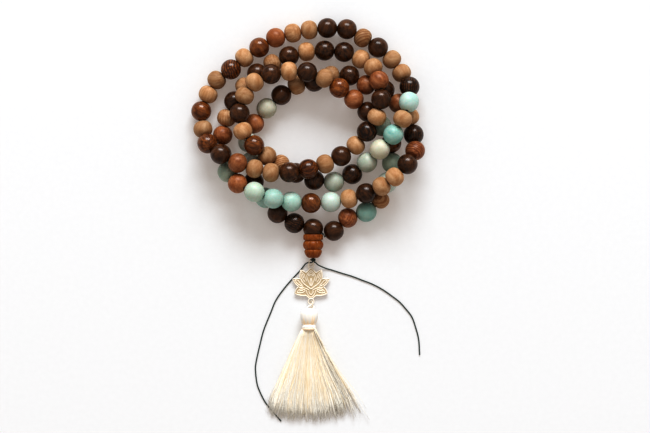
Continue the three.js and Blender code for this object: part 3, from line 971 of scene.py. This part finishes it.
# The skirt's half width at parts of its length.
SKIRT_WIDTHS = [(0, 2.2), (0.06, 3.2), (0.15, 4.9), (0.26, 6.5), (0.38, 8.3), (0.5, 10.2),
                (0.61, 12.0), (0.73, 13.8), (0.86, 15.2), (1.0, 16.4), (1.2, 18.2)]
SKIRT_LEAN = -0.7  # how far the end lies to the side of the top
SKIRT_FALL = 0.55  # the power of the length with which the skirt comes down to the surface


def between(table, t):
    """The value at t, read off a table of (place, value)."""
    for (a, low), (b, high) in zip(table, table[1:]):
        if t <= b:
            return low + (high - low) * (t - a) / (b - a)
    return table[-1][1]


def skirt_core():
    """The threads deep inside, as one flat body, so that no gap goes right through.
    Its end is rounded and toothed, like the ends of threads."""
    rows, columns = 14, 36
    width_share, end_height, reaches_up = 0.92, 0.75, 1.2
    thick_at_top, thinning, under_share = 1.95, 1.5, 0.8
    rounding, teeth = 0.09, 0.03
    corners = []
    for k in range(rows + 1):
        t = k / rows
        half = width_share * between(SKIRT_WIDTHS, t)
        middle = HEAD.z + (end_height - HEAD.z) * t ** SKIRT_FALL
        thick = thick_at_top - thinning * t
        for j in range(columns):
            turn = 2 * math.pi * j / columns
            rise = thick * math.sin(turn)
            down = t * (1 - rounding * math.cos(turn) ** 2 - teeth * (j % 2))
            corners.append(Vector((HEAD.x + SKIRT_LEAN * t ** 0.5 + half * math.cos(turn),
                                   skirt_top + reaches_up - SKIRT_LENGTH * down,
                                   middle + (rise if rise > 0 else under_share * rise))))
    return corners, capped_faces(rows + 1, columns)


def skirt_geometry():
    """Loose threads from the neck to the end, round the core, with a tint for each corner.
    Across is a thread's place from side to side, and layer its place from back to face."""
    strands, steps, sides = 2200, 10, 4
    face_share, spread_power = 0.65, 0.92
    inner, inner_power = 1.3, 2.2
    stray_every, stray_power = 18, 1.5
    side_shorter, top_hidden, end_longer = 0.09, 1.4, 1.2
    locks, lock_wave, sideways, upwards = 14, 0.7, 1.6, 0.7
    half_depth_top, half_depth_end, lowest = 2.4, 0.55, 0.28
    side_tint, middle_darker, tint_range = 0.44, 0.2, 0.34
    face_paler, painted_light_at_ends, core_tint = 0.1, 0.8, 0.45
    parts, tints = [], []
    for number in range(strands):
        across = chance.uniform(-1, 1)
        across = math.copysign(abs(across) ** spread_power, across)
        side = 1 if chance.random() < face_share else -1
        depth = 1 - inner * chance.random() ** inner_power
        layer = side * depth * math.sqrt(max(0.0, 1 - across * across))
        length = SKIRT_LENGTH * chance.uniform(0.87, 1.05 if side > 0 else 0.95)
        length *= 1 - side_shorter * across * across
        stray = 0.0
        if number % stray_every == 0:
            across = chance.uniform(0.2, 1)
            stray = chance.uniform(1, 8)
        reach = across * chance.uniform(0.97, 1.05)
        seed = chance.uniform(0, 100)
        wander = chance.uniform(0.3, 1.3)
        cross = chance.gauss(0, 0.09)
        line = []
        for k in range(steps + 1):
            t = k / steps
            down = t * length / SKIRT_LENGTH
            half = between(SKIRT_WIDTHS, down)
            lean = SKIRT_LEAN * down ** 0.5
            wobble = wander * t * noise.noise(Vector((seed, 2.5 * t, 0)))
            wobble += lock_wave * t * noise.noise(Vector((locks * across, 2 * t, 4)))
            x = HEAD.x + lean + (reach + cross * (0.4 - down)) * half + sideways * wobble
            x += stray * t ** stray_power
            y = skirt_top + top_hidden - (length + end_longer) * t
            near = HEAD.z + layer * half_depth_top
            far = lowest + (layer + 1) * half_depth_end
            ease = t ** SKIRT_FALL
            z = near + (far - near) * ease + wobble * upwards * ease
            line.append(Vector((x, y, max(lowest, z))))
        thick = chance.uniform(0.07, 0.15)
        radii = [thick] * (steps - 1) + [0.75 * thick, 0.45 * thick]
        parts.append(tube(line, thick, sides, radii))
        tint = chance.gauss(side_tint + middle_darker * (1 - abs(across)), tint_range)
        tint -= face_paler * layer
        for k in range(steps + 1):
            # Paler toward the ends: painted light, which offsets the shade that falls on the
            # threads' ends.
            tints += [min(1.0, max(0.0, tint - painted_light_at_ends * (k / steps) ** 5))] * sides
    parts.append(skirt_core())
    tints += [core_tint] * len(parts[-1][0])
    return joined(*parts), tints


skirt, skirt_tints = skirt_geometry()
piece = place("silk_skirt", "tassel", skirt, SILK, values={"tint": skirt_tints})
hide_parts("tassel_skirt")


# ---- floor, light ----
def floor_look():
    """A plain pale surface, which glows a little so that shadows on it stay soft."""
    look = Look("backdrop", Roughness=0.85, Emission_Color=(1.0, 0.85, 0.76, 1),
                Emission_Strength=0.27)
    weave = look.noise(look.coords((0.5, 0.5, 0.5)), scale=1.0, detail=4)
    look.colour(look.ramp(weave, (0.3, (0.545, 0.59, 0.622)), (0.7, (0.557, 0.602, 0.634))))
    look.bump(weave, distance=0.05, strength=0.2)
    return look.material


FLOOR_HALF = 2
floor_mesh = bpy.data.meshes.new("floor")
floor_mesh.from_pydata([(-FLOOR_HALF, -FLOOR_HALF, 0), (FLOOR_HALF, -FLOOR_HALF, 0),
                        (FLOOR_HALF, FLOOR_HALF, 0), (-FLOOR_HALF, FLOOR_HALF, 0)],
                       [], [(0, 1, 2, 3)])
floor_mesh.materials.append(floor_look())
floor = bpy.data.objects.new("floor", floor_mesh)
scene.collection.objects.link(floor)


def window_light(location, target, width, height, energy, colour):
    """An area light that faces its target."""
    data = bpy.data.lights.new("window", "AREA")
    data.shape = "RECTANGLE"
    data.size = width
    data.size_y = height
    data.energy = energy
    data.color = colour
    light = bpy.data.objects.new("window", data)
    light.location = location
    light.rotation_euler = (Vector(target) - Vector(location)).to_track_quat("-Z", "Y").to_euler()
    scene.collection.objects.link(light)


window_light(location=(0.15, 2.4, 1.68), target=(0, 0.02, 0), width=2.0, height=1.1,
             energy=100, colour=(0.97, 1.0, 1.03))
world = bpy.data.worlds.new("world")
world.use_nodes = True
background = world.node_tree.nodes["Background"]
background.inputs["Color"].default_value = (1, 0.93, 0.88, 1)
background.inputs["Strength"].default_value = 0.7
scene.world = world
